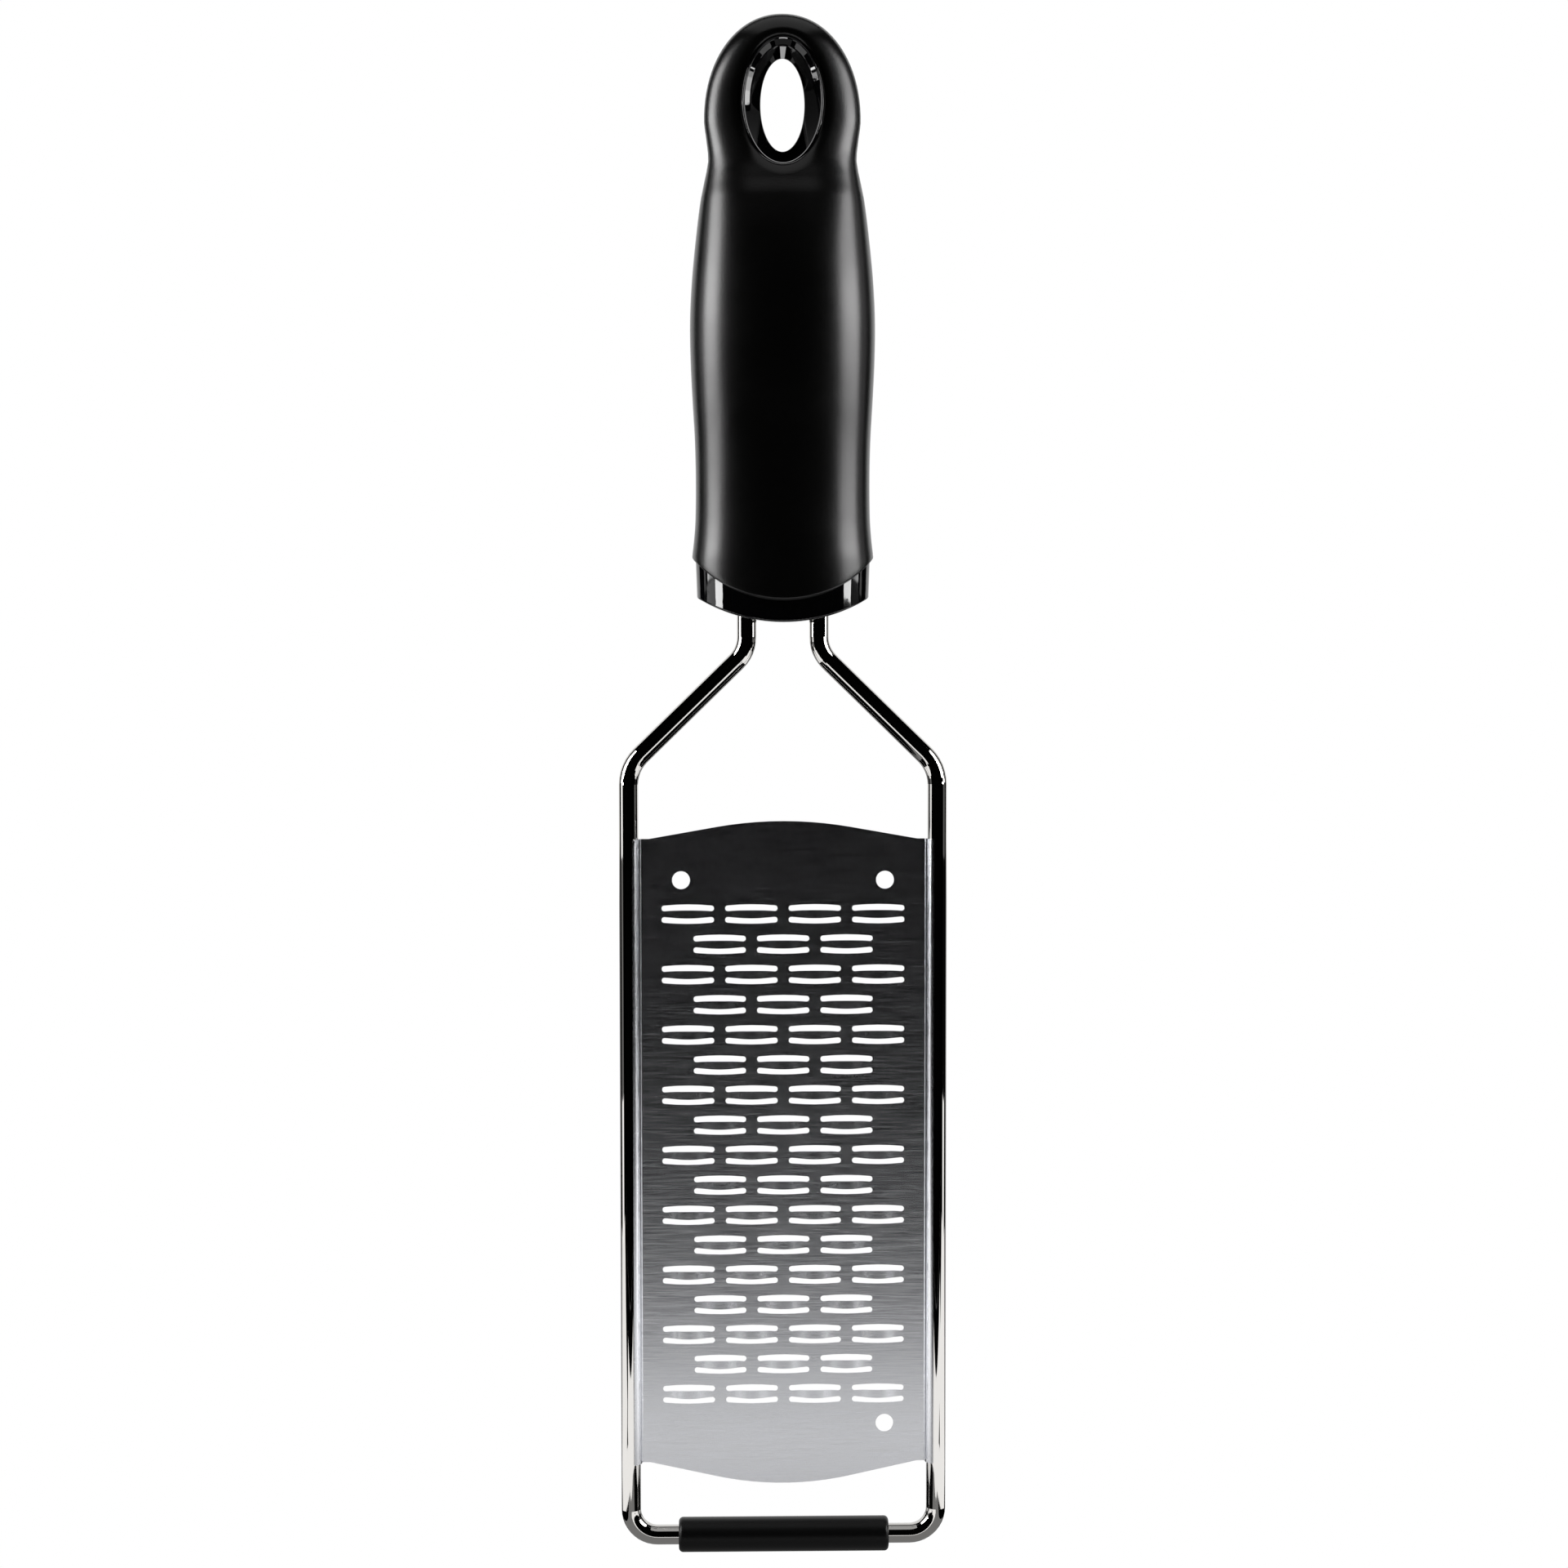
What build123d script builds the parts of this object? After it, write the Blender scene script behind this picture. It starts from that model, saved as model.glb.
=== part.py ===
from build123d import *

import math
import os

# Rasp zester: handle up, cutting face towards -Y. All sizes in millimetres.
# Origin: centre of the hang hole, on the tool's mid-plane. Heights run down from there,
# each piece starting where the one above it ends.

# Hang hole and its gloss liner
hang_rim_w = 16.4
hang_rim_h = 25.6
hang_throat_w = 8.9
hang_throat_h = 18.6
rim_sink = 0.8
hang_lip_w = 0.55
hang_lip_r = 0.22
hang_throat_r = 0.3

# Head of the handle, round the hang hole
head_side_wall = 7.7
head_crown_wall = 5.35
head_t = 12.4
head_below_hole = 3.1
dome_power = 2.1
dome_sections = 9

# Grip, from the neck down to its lip
neck_below_hole = 11.2
grip_run = 80.7
belly_w = 37.65
belly_t = 25.2
lip_w_share = 0.985
lip_t_share = 0.929
grip_wall = 2.0
grip_mouth_r = 1.6
tongue_drop = 8.4

# Sections of the grip: share of the run above the lip, of the belly's width, of its thickness
section_shares = [
    (-0.20, 0.988, 0.929),
    (-0.10, 0.993, 0.932),
    (0.00, lip_w_share, lip_t_share),
    (0.05, 0.963, 0.905),
    (0.10, 0.947, 0.889),
    (0.20, 0.942, 0.885),
    (0.30, 0.951, 0.909),
    (0.40, 0.975, 0.952),
    (0.50, 0.995, 0.988),
    (0.60, 1.000, 1.000),
    (0.70, 0.979, 0.968),
    (0.80, 0.938, 0.881),
    (0.90, 0.884, 0.742),
    (0.95, 0.841, 0.643),
    (1.00, 0.800, 0.556),
    (1.05, 0.819, 0.512),
]

# Gloss collar under the grip's lip
collar_len = 12.7
collar_ledge_w = 0.72
collar_narrowing_w = 0.5
collar_belly_drop = 5.2
collar_edge_r = 0.5
collar_tuck = 0.5
rim_h = 3.0
rim_ledge_w = 1.2
rim_wall = 1.8
collar_floor_t = 1.9

# Frame: one stainless rod, bent flat
rod_d = 4.0
tail_spacing = 14.8
tail_insert = 49.6
collar_to_neck_bend = 5.9
diagonal_drop = 23.7
neck_bend_r = 7.0
shoulder_bend_r = 8.4
corner_bend_r = 5.5
shoulder_to_blade = 14.8
blade_to_bar = 15.25

# Flattened tab at the end of each tail
tab_len = 9.0
tab_w = 5.2
tab_t = 2.8
tab_corner_r = 0.8

# Cells of the blade: two bowed slots with a raised ribbon between them
row_count = 17
wide_row_count = 4
cell_pitch = 13.08
row_pitch = 6.26
slot_len = 10.8
slot_w = 1.18
slot_bow = 0.23
ribbon_w = 1.66
ribbon_rise = 0.75

# Sheet of the blade, with its folded sides, crowned ends and round holes
sheet_t = 0.3
fold_r = 0.25
wrap_angle = 70.0
cells_to_rail = 6.68
blade_hole_d = 3.7
blade_hole_spacing = 42.0
rows_to_top_holes = 7.02
rows_to_bottom_hole = 6.27
top_hole_to_corner = 8.5
bottom_hole_to_corner = 8.0
corner_flat_w = 1.4
crown_arc_w = 28.0
top_crown_rise = 3.65
bottom_crown_rise = 4.55

# Rubber foot on the bottom bar
foot_len = 43.6
foot_wall = 1.55
foot_edge_r = 0.9

# Clearance between seated pieces, and how far a cut runs past its face
seat_gap = 0.05
overrun = 1.0

os.makedirs("parts", exist_ok=True)

# Heights, from the top of the tool down
apex_z = hang_rim_h / 2 + head_crown_wall
head_z = -head_below_hole
neck_z = -neck_below_hole
lip_z = neck_z - grip_run
collar_top_z = lip_z + collar_tuck
rim_top_z = collar_top_z + rim_h
collar_bottom_z = lip_z - collar_len
collar_corner_z = collar_bottom_z + collar_belly_drop
spigot_z = collar_corner_z + collar_floor_t
tail_end_z = collar_bottom_z + tail_insert
neck_bend_z = collar_bottom_z - collar_to_neck_bend
shoulder_z = neck_bend_z - diagonal_drop
blade_top_z = shoulder_z - shoulder_to_blade
top_hole_z = blade_top_z - top_hole_to_corner
top_row_z = top_hole_z - rows_to_top_holes
bottom_row_z = top_row_z - (row_count - 1) * row_pitch
bottom_hole_z = bottom_row_z - rows_to_bottom_hole
blade_bottom_z = bottom_hole_z - bottom_hole_to_corner
bar_z = blade_bottom_z - blade_to_bar

# Widths that several pieces share
cells_w = (wide_row_count - 1) * cell_pitch + slot_len
rail_x = cells_w / 2 + cells_to_rail
tail_x = tail_spacing / 2
head_w = hang_rim_w + 2 * head_side_wall
collar_w = belly_w * lip_w_share - 2 * collar_ledge_w
collar_t = belly_t * lip_t_share - 2 * collar_ledge_w
rim_w = collar_w - 2 * rim_ledge_w
rim_t = collar_t - 2 * rim_ledge_w


# Frame rod: a tail, a neck bend, a shoulder bend, a rail and half the bottom bar, twice over
half_route = [
    (tail_x, tail_end_z),
    (tail_x, neck_bend_z),
    (rail_x, shoulder_z),
    (rail_x, bar_z),
]
route = half_route + [(-x, z) for x, z in reversed(half_route)]
half_radii = [neck_bend_r, shoulder_bend_r, corner_bend_r]

with BuildPart() as frame_rod:
    with BuildLine(Plane.XZ) as rod_line:
        FilletPolyline(*route, radius=half_radii + half_radii[::-1])
    with BuildSketch(Plane.XY.offset(tail_end_z)):
        with Locations((tail_x, 0)):
            Circle(rod_d / 2)
    sweep(path=rod_line.line)
    with BuildSketch(Plane.XY.offset(tail_end_z)):
        with Locations((-tail_x, 0), (tail_x, 0)):
            RectangleRounded(tab_w, tab_t, tab_corner_r)
    extrude(amount=tab_len)

frame_rod.part.label = "frame_rod"
export_step(frame_rod.part, "parts/frame_rod.step")


# Blade: the sheet's front face lies one fold radius behind the mid-plane, and each side folds
# forward there and wraps the inner front of its rail
sheet_plane = Plane.XZ.offset(-fold_r)
wrap_inner_r = rod_d / 2 + seat_gap
wrap_outer_r = wrap_inner_r + sheet_t
fold_x = rail_x - wrap_outer_r - fold_r


def cell_centres():
    """Centres of the cells, row by row: each second row is one cell shorter."""
    for row in range(row_count):
        cells = wide_row_count - row % 2
        for cell in range(cells):
            yield (cell - (cells - 1) / 2) * cell_pitch, top_row_z - row * row_pitch


# The shape between the two slots of a cell, seen from the front
slot_arc_x = (slot_len - slot_w) / 2
slot_mid_z = (ribbon_w + slot_w) / 2
ribbon_end_z = ribbon_w / 2 - slot_bow


def ribbon_outline():
    """Edges of the shape between the two slots of a cell."""
    top = ThreePointArc((-slot_arc_x, ribbon_end_z), (0, ribbon_w / 2), (slot_arc_x, ribbon_end_z))
    low = ThreePointArc((-slot_arc_x, -ribbon_end_z), (0, -ribbon_w / 2), (slot_arc_x, -ribbon_end_z))
    Line(top @ 0, low @ 0)
    Line(top @ 1, low @ 1)


# One ribbon, at the origin: an arched band of four equal bends, cut to that shape
crest_y = fold_r - ribbon_rise
halfway_y = fold_r - ribbon_rise / 2
arch_r = (slot_arc_x ** 2 + ribbon_rise ** 2) / (4 * ribbon_rise)

with BuildPart() as ribbon:
    with BuildSketch(Plane.XY):
        with BuildLine():
            foot = RadiusArc((-slot_arc_x, fold_r), (-slot_arc_x / 2, halfway_y), arch_r)
            crest = RadiusArc(foot @ 1, (0, crest_y), -arch_r)
            end = Line(foot @ 0, foot @ 0 + (0, sheet_t))
            back_foot = RadiusArc(end @ 1, foot @ 1 + (0, sheet_t), arch_r)
            RadiusArc(back_foot @ 1, crest @ 1 + (0, sheet_t), -arch_r)
            mirror(about=Plane.YZ)
        make_face()
    extrude(amount=ribbon_w / 2, both=True)
    with BuildSketch(Plane.XZ):
        with BuildLine():
            ribbon_outline()
        make_face()
    extrude(amount=ribbon_rise + sheet_t, both=True, mode=Mode.INTERSECT)

# One window, at the origin: both slots and what is between them
with BuildSketch() as window:
    with BuildLine():
        ribbon_outline()
    make_face()
    for side in (-1, 1):
        end_z = side * (slot_mid_z - slot_bow)
        with BuildLine(mode=Mode.PRIVATE) as slot_line:
            ThreePointArc((-slot_arc_x, end_z), (0, side * slot_mid_z), (slot_arc_x, end_z))
        SlotArc(slot_line.line.edge(), slot_w)

with BuildPart() as blade:
    with BuildSketch(Plane.XY.offset(blade_bottom_z)):
        with BuildLine():
            Line((0, fold_r), (fold_x, fold_r))
            CenterArc((fold_x, 0), fold_r, 0, 90)
            wrap = CenterArc((rail_x, 0), wrap_outer_r, 180, wrap_angle)
            inner_wrap = CenterArc((rail_x, 0), wrap_inner_r, 180, wrap_angle)
            Line(wrap @ 1, inner_wrap @ 1)
            outer_fold = CenterArc((fold_x, 0), fold_r + sheet_t, 0, 90)
            Line(outer_fold @ 1, (0, fold_r + sheet_t))
            mirror(about=Plane.YZ)
        make_face()
    extrude(amount=blade_top_z - blade_bottom_z)
    for corner_z, rise in ((blade_top_z, top_crown_rise), (blade_bottom_z, -bottom_crown_rise)):
        base_x = fold_x - corner_flat_w
        arc_x = crown_arc_w / 2
        flank_z = corner_z + rise * (base_x - arc_x) / (base_x - arc_x / 2)
        with BuildSketch(sheet_plane):
            with BuildLine():
                flank = Line((-base_x, corner_z), (-arc_x, flank_z))
                crown = ThreePointArc(flank @ 1, (0, corner_z + rise), (arc_x, flank_z))
                Polyline(crown @ 1, (base_x, corner_z), flank @ 0)
            make_face()
        extrude(amount=-sheet_t)
    with BuildSketch(sheet_plane):
        with Locations(*cell_centres()):
            add(window.sketch)
        with Locations(
            (-blade_hole_spacing / 2, top_hole_z),
            (blade_hole_spacing / 2, top_hole_z),
            (blade_hole_spacing / 2, bottom_hole_z),
        ):
            Circle(blade_hole_d / 2)
    extrude(amount=-sheet_t, mode=Mode.SUBTRACT)
    with Locations(*[(x, 0, z) for x, z in cell_centres()]):
        add(ribbon.part)

blade.part.label = "blade"
export_step(blade.part, "parts/blade.step")


# Handle: level ovals stacked from below the lip to the head, then a rounded dome
def oval(z, width, thickness):
    """One level section of the handle."""
    with BuildSketch(Plane.XY.offset(z)) as section:
        Ellipse(width / 2, thickness / 2)
    return section.sketch


def handle_sections(inset):
    """Sections and apex of the handle's body, drawn in by the inset all round."""
    sections = []
    for run_share, w_share, t_share in section_shares:
        z = lip_z + grip_run * run_share
        sections.append(oval(z, belly_w * w_share - 2 * inset, belly_t * t_share - 2 * inset))
    half_w = head_w / 2 - inset
    dome_h = apex_z - head_z - inset
    nose_r = head_t / 2 - inset
    for step in range(dome_sections):
        turn = math.pi / 2 * step / dome_sections
        rise = dome_h * math.sin(turn) ** (2 / dome_power)
        reach = half_w * math.cos(turn) ** (2 / dome_power)
        nose_drop = max(nose_r - (dome_h - rise), 0)
        nose = math.sqrt(nose_r ** 2 - nose_drop ** 2)
        sections.append(oval(head_z + rise, 2 * reach, 2 * nose))
    return sections + [Vertex(0, 0, apex_z - inset)]


def collar_sections(grow):
    """Lower and upper section of the collar's outside, grown by a clearance."""
    low_w = collar_w - 2 * collar_narrowing_w
    low_t = collar_t - 2 * collar_narrowing_w
    return [
        oval(collar_bottom_z - overrun, low_w + 2 * grow, low_t + 2 * grow),
        oval(collar_top_z + grow, collar_w + 2 * grow, collar_t + 2 * grow),
    ]


lip_reach = belly_w * lip_w_share / 2 + seat_gap
grip_outside = handle_sections(0)
grip_inside = handle_sections(grip_wall)
core_outside = handle_sections(grip_wall + seat_gap)
collar_outside = collar_sections(0)
collar_grown = collar_sections(seat_gap)


# The oval bore that the hang hole's liner fills
with BuildSketch(Plane.XZ) as hang_bore:
    Ellipse(hang_rim_w / 2 + seat_gap, hang_rim_h / 2 + seat_gap)

# The two bores that the wire's tails fill, drawn at the collar's lower end
with BuildSketch(Plane.XY.offset(collar_bottom_z - overrun)) as tail_bores:
    with Locations((-tail_x, 0), (tail_x, 0)):
        Circle(rod_d / 2 + seat_gap)

# The collar's front view above its bellied lower edge
with BuildSketch(Plane.XZ) as collar_front:
    with BuildLine():
        belly = ThreePointArc(
            (-collar_w / 2, collar_corner_z),
            (0, collar_bottom_z),
            (collar_w / 2, collar_corner_z),
        )
        Polyline(belly @ 1, (collar_w / 2, rim_top_z), (-collar_w / 2, rim_top_z), belly @ 0)
    make_face()


# Handle core: rigid body inside the grip, with a spigot that the collar slips over
with BuildPart() as handle_core:
    loft(core_outside)
    split(bisect_by=Plane.XY.offset(rim_top_z + seat_gap))
    with BuildSketch(Plane.XY.offset(spigot_z + seat_gap)):
        Ellipse(rim_w / 2 - rim_wall - seat_gap, rim_t / 2 - rim_wall - seat_gap)
    extrude(amount=rim_top_z - spigot_z)
    extrude(hang_bore.sketch, amount=head_t, both=True, mode=Mode.SUBTRACT)
    extrude(tail_bores.sketch, amount=tail_end_z - collar_bottom_z + overrun, mode=Mode.SUBTRACT)
    with BuildSketch(Plane.XY.offset(tail_end_z - seat_gap)):
        with Locations((-tail_x, 0), (tail_x, 0)):
            RectangleRounded(tab_w + 2 * seat_gap, tab_t + 2 * seat_gap, tab_corner_r + seat_gap)
    extrude(amount=tab_len + 2 * seat_gap, mode=Mode.SUBTRACT)

handle_core.part.label = "handle_core"
export_step(handle_core.part, "parts/handle_core.step")


# End collar: a cup whose closed lower end bellies down, with a stepped rim under the grip
with BuildPart() as end_collar:
    loft(collar_outside)
    extrude(collar_front.sketch, amount=collar_t, both=True, mode=Mode.INTERSECT)
    fillet(end_collar.faces().sort_by(Axis.Z)[0].edges(), collar_edge_r)
    with BuildSketch(Plane.XY.offset(collar_top_z)):
        Ellipse(rim_w / 2, rim_t / 2)
    extrude(amount=rim_h)
    with BuildSketch(Plane.XY.offset(spigot_z)):
        Ellipse(rim_w / 2 - rim_wall, rim_t / 2 - rim_wall)
    extrude(amount=rim_top_z - spigot_z, mode=Mode.SUBTRACT)
    extrude(tail_bores.sketch, amount=spigot_z - collar_bottom_z + overrun, mode=Mode.SUBTRACT)

end_collar.part.label = "end_collar"
export_step(end_collar.part, "parts/end_collar.step")


# The room inside the grip: over the core, and over the collar with its stepped rim
with BuildPart() as core_room:
    loft(grip_inside)
    split(bisect_by=Plane.XY.offset(rim_top_z))

with BuildPart() as collar_room:
    loft(collar_grown)
    with BuildSketch(Plane.XY.offset(collar_top_z)):
        Ellipse(rim_w / 2 + seat_gap, rim_t / 2 + seat_gap)
    extrude(amount=rim_h + seat_gap)

# Soft grip: the handle's skin, ending below in a curved tongue front and back
with BuildPart() as soft_grip:
    loft(grip_outside)
    with BuildSketch(Plane.XZ):
        with BuildLine():
            tongue = ThreePointArc((-lip_reach, lip_z), (0, lip_z - tongue_drop), (lip_reach, lip_z))
            Polyline(
                tongue @ 1,
                (belly_w, lip_z),
                (belly_w, apex_z + overrun),
                (-belly_w, apex_z + overrun),
                (-belly_w, lip_z),
                tongue @ 0,
            )
        make_face()
    extrude(amount=belly_t, both=True, mode=Mode.INTERSECT)
    extrude(hang_bore.sketch, amount=head_t, both=True, mode=Mode.SUBTRACT)
    mouths = soft_grip.edges(Select.LAST).sort_by(Axis.Y)
    fillet([mouths[0], mouths[-1]], grip_mouth_r)
    add(core_room.part, mode=Mode.SUBTRACT)
    add(collar_room.part, mode=Mode.SUBTRACT)

soft_grip.part.label = "soft_grip"
export_step(soft_grip.part, "parts/soft_grip.step")


# Hang ring: hourglass liner of the hang hole, with a thin rounded lip on both faces
hang_ring_t = head_t - 2 * rim_sink

with BuildPart() as hang_ring:
    with BuildSketch(Plane.XZ):
        Ellipse(hang_rim_w / 2, hang_rim_h / 2)
    extrude(amount=hang_ring_t / 2, both=True)
    for side in (-1, 1):
        with BuildSketch(Plane.XZ.offset(side * hang_ring_t / 2)):
            Ellipse(hang_rim_w / 2 - hang_lip_w, hang_rim_h / 2 - hang_lip_w)
        with BuildSketch(Plane.XZ):
            Ellipse(hang_throat_w / 2, hang_throat_h / 2)
        loft(mode=Mode.SUBTRACT)
    faces_out = hang_ring.faces().sort_by(Axis.Y)
    fillet(faces_out[0].edges() + faces_out[-1].edges(), hang_lip_r)
    throat = hang_ring.edges().sort_by(SortBy.DISTANCE)[0]
    fillet(throat, hang_throat_r)

hang_ring.part.label = "hang_ring"
export_step(hang_ring.part, "parts/hang_ring.step")


# Foot sleeve: rubber tube on the middle of the bottom bar
with BuildPart() as foot_sleeve:
    with BuildSketch(Plane.YZ):
        with Locations((0, bar_z)):
            Circle(rod_d / 2 + foot_wall)
    extrude(amount=foot_len / 2, both=True)
    fillet(foot_sleeve.edges().filter_by(GeomType.CIRCLE), foot_edge_r)
    with BuildSketch(Plane.YZ):
        with Locations((0, bar_z)):
            Circle(rod_d / 2 + seat_gap)
    extrude(amount=foot_len / 2, both=True, mode=Mode.SUBTRACT)

foot_sleeve.part.label = "foot_sleeve"
export_step(foot_sleeve.part, "parts/foot_sleeve.step")
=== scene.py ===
# %% [markdown]
# # A rasp zester on a white sweep
# The tool is a bent wire frame that holds an etched steel blade, with a soft black handle on top and
# a rubber foot below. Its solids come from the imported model, in metres, with the hang hole at the
# origin and the foot straight down. Everything could be modelled again here, but the solids already
# have their real sizes, so this script only adds what they lack: the finishes, the flowing skin of
# the grip, the lining of the hang hole, and a studio that lights and frames them.

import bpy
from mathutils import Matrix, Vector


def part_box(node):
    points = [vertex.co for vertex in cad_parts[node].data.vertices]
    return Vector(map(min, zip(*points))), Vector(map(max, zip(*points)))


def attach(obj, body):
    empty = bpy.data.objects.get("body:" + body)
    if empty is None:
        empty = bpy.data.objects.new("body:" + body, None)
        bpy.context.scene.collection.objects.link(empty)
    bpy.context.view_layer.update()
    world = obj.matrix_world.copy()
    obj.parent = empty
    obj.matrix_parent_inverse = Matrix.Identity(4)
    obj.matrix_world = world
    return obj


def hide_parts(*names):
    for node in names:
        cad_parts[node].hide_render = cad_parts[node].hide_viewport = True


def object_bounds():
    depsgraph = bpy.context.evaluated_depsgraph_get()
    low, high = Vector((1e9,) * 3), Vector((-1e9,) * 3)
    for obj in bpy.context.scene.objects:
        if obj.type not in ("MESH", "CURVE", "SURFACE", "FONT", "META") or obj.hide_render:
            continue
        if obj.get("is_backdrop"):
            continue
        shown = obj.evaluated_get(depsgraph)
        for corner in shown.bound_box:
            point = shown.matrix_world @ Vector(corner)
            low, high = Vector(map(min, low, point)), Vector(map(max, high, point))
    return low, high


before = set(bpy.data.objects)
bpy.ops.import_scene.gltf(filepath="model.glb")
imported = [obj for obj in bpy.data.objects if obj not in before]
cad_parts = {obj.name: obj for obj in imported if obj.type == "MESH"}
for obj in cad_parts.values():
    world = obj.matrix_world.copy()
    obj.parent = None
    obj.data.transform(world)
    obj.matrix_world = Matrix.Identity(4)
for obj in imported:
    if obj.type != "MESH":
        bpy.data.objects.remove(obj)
cad_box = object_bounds()
print("solids:", ", ".join(sorted(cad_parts)))

# %% [markdown]
# ## Units and colours
# Sizes below are written in millimetres, because that is how such a tool is drawn, and are turned
# into metres where they reach Blender. Colours are written as they look on a screen, as sRGB hex.
# Shaders work with linear light, so one function turns each colour before it goes into a node.

# %% Units and colours
import math

import bmesh
import bpy
from mathutils import Quaternion, Vector

MM = 0.001


def linear(hex_colour):
    """An sRGB hex colour as linear red, green, blue and alpha."""
    parts = [int(hex_colour[i:i + 2], 16) / 255 for i in (1, 3, 5)]
    return [c / 12.92 if c <= 0.04045 else ((c + 0.055) / 1.055) ** 2.4 for c in parts] + [1.0]


print("whole tool, mm:", [round(size / MM, 1) for size in cad_box[1] - cad_box[0]])

# %% [markdown]
# ## One helper for shader nodes
# A material is a small network of nodes. It could be drawn by hand in the shader editor, but a
# script can be read and run again. This helper adds one node, sets its values and plugs in its
# inputs, so each material below reads as a list of what its surface is made of.

# %% The node helper


def add_node(material, kind, values=None, links=None):
    """Adds a node: values sets its properties and inputs, links plugs outputs into its inputs."""
    node = material.node_tree.nodes.new(kind)
    for name, value in (values or {}).items():
        if isinstance(name, str) and hasattr(node, name):
            setattr(node, name, value)
        else:
            node.inputs[name].default_value = value
    for name, output in (links or {}).items():
        material.node_tree.links.new(output, node.inputs[name])
    return node


def new_surface(name):
    """A material with nothing but its output node, and that node."""
    material = bpy.data.materials.new(name)
    material.use_nodes = True
    material.node_tree.nodes.clear()
    return material, add_node(material, "ShaderNodeOutputMaterial")


def per_metre(size_mm):
    """Texture scale at which one cell of a pattern is this many millimetres wide."""
    return 1 / (size_mm * MM)


sample_grain_mm = 0.25
print("a grain of", sample_grain_mm, "mm has", round(per_metre(sample_grain_mm)), "cells in a metre")

# %% [markdown]
# ## Grip: soft-touch thermoplastic elastomer
# The grip is a rubbery skin moulded over a rigid core, in a steel mould eroded to a fine, even
# grain. The eye sees a deep black with wide satin highlights, a fine speckle in them, and small
# changes of gloss from place to place. One roughness value would give the satin but look like
# paint, so one noise varies the gloss over centimetres and a fine one gives the grain.

# %% Soft-touch elastomer
grip_grain_mm = 0.28
grip_grain_depth_mm = 0.03
grip_handling_mm = 14
grip_gloss_range = (0.22, 0.26)
noise_range = (0.3, 0.7)


def soft_touch_elastomer():
    material, output = new_surface("soft_touch_elastomer")
    place = add_node(material, "ShaderNodeTexCoord").outputs["Object"]
    handling = add_node(
        material, "ShaderNodeTexNoise",
        {"Scale": per_metre(grip_handling_mm), "Detail": 3.0, "Roughness": 0.6}, {"Vector": place},
    )
    gloss = add_node(
        material, "ShaderNodeMapRange",
        {
            "From Min": noise_range[0], "From Max": noise_range[1],
            "To Min": grip_gloss_range[0], "To Max": grip_gloss_range[1],
        },
        {"Value": handling.outputs["Fac"]},
    )
    grain = add_node(
        material, "ShaderNodeTexNoise",
        {"Scale": per_metre(grip_grain_mm), "Detail": 2.0, "Roughness": 0.7}, {"Vector": place},
    )
    bump = add_node(
        material, "ShaderNodeBump", {"Strength": 0.5, "Distance": grip_grain_depth_mm * MM},
        {"Height": grain.outputs["Fac"]},
    )
    skin = add_node(
        material, "ShaderNodeBsdfPrincipled", {"Base Color": linear("#030303"), "IOR": 1.5},
        {"Roughness": gloss.outputs["Result"], "Normal": bump.outputs["Normal"]},
    )
    material.node_tree.links.new(skin.outputs["BSDF"], output.inputs["Surface"])
    return material


grip_finish = soft_touch_elastomer()
print(grip_finish.name, "nodes:", len(grip_finish.node_tree.nodes))

# %% [markdown]
# ## Collar and hang ring: polished black ABS
# Both are ABS from a mirror-polished mould. The eye sees almost pure black with sharp, bright
# reflections that waver a little, because thick plastic sinks as it cools. The wavering could be
# modelled in the mesh, but it is only micrometres deep, so a broad and shallow bump draws it.

# %% Polished ABS
sink_mark_mm = 3.5
sink_depth_mm = 0.05


def polished_abs():
    material, output = new_surface("polished_black_abs")
    place = add_node(material, "ShaderNodeTexCoord").outputs["Object"]
    sink = add_node(
        material, "ShaderNodeTexNoise", {"Scale": per_metre(sink_mark_mm), "Detail": 1.0},
        {"Vector": place},
    )
    bump = add_node(
        material, "ShaderNodeBump", {"Strength": 0.12, "Distance": sink_depth_mm * MM},
        {"Height": sink.outputs["Fac"]},
    )
    plastic = add_node(
        material, "ShaderNodeBsdfPrincipled",
        {"Base Color": linear("#050506"), "Roughness": 0.035, "IOR": 1.54},
        {"Normal": bump.outputs["Normal"]},
    )
    material.node_tree.links.new(plastic.outputs["BSDF"], output.inputs["Surface"])
    return material


gloss_finish = polished_abs()
print(gloss_finish.name, "nodes:", len(gloss_finish.node_tree.nodes))

# %% [markdown]
# ## Frame: drawn and polished stainless wire
# The wire is pulled through a die and then tumbled bright. The eye sees a clean mirror that is not
# quite even, because the die leaves faint marks. A perfect mirror would be simpler, but its
# highlights look drawn on, so the roughness varies a little from mark to mark.

# %% Polished stainless wire
draw_mark_mm = 0.35
wire_gloss_range = (0.015, 0.035)


def polished_wire():
    material, output = new_surface("polished_stainless_wire")
    place = add_node(material, "ShaderNodeTexCoord").outputs["Object"]
    marks = add_node(
        material, "ShaderNodeTexNoise", {"Scale": per_metre(draw_mark_mm), "Detail": 3.0},
        {"Vector": place},
    )
    gloss = add_node(
        material, "ShaderNodeMapRange",
        {"To Min": wire_gloss_range[0], "To Max": wire_gloss_range[1]},
        {"Value": marks.outputs["Fac"]},
    )
    steel = add_node(
        material, "ShaderNodeBsdfPrincipled", {"Base Color": linear("#cbc9c6"), "Metallic": 1.0},
        {"Roughness": gloss.outputs["Result"]},
    )
    material.node_tree.links.new(steel.outputs["BSDF"], output.inputs["Surface"])
    return material


wire_finish = polished_wire()
print(wire_finish.name, "nodes:", len(wire_finish.node_tree.nodes))

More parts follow.
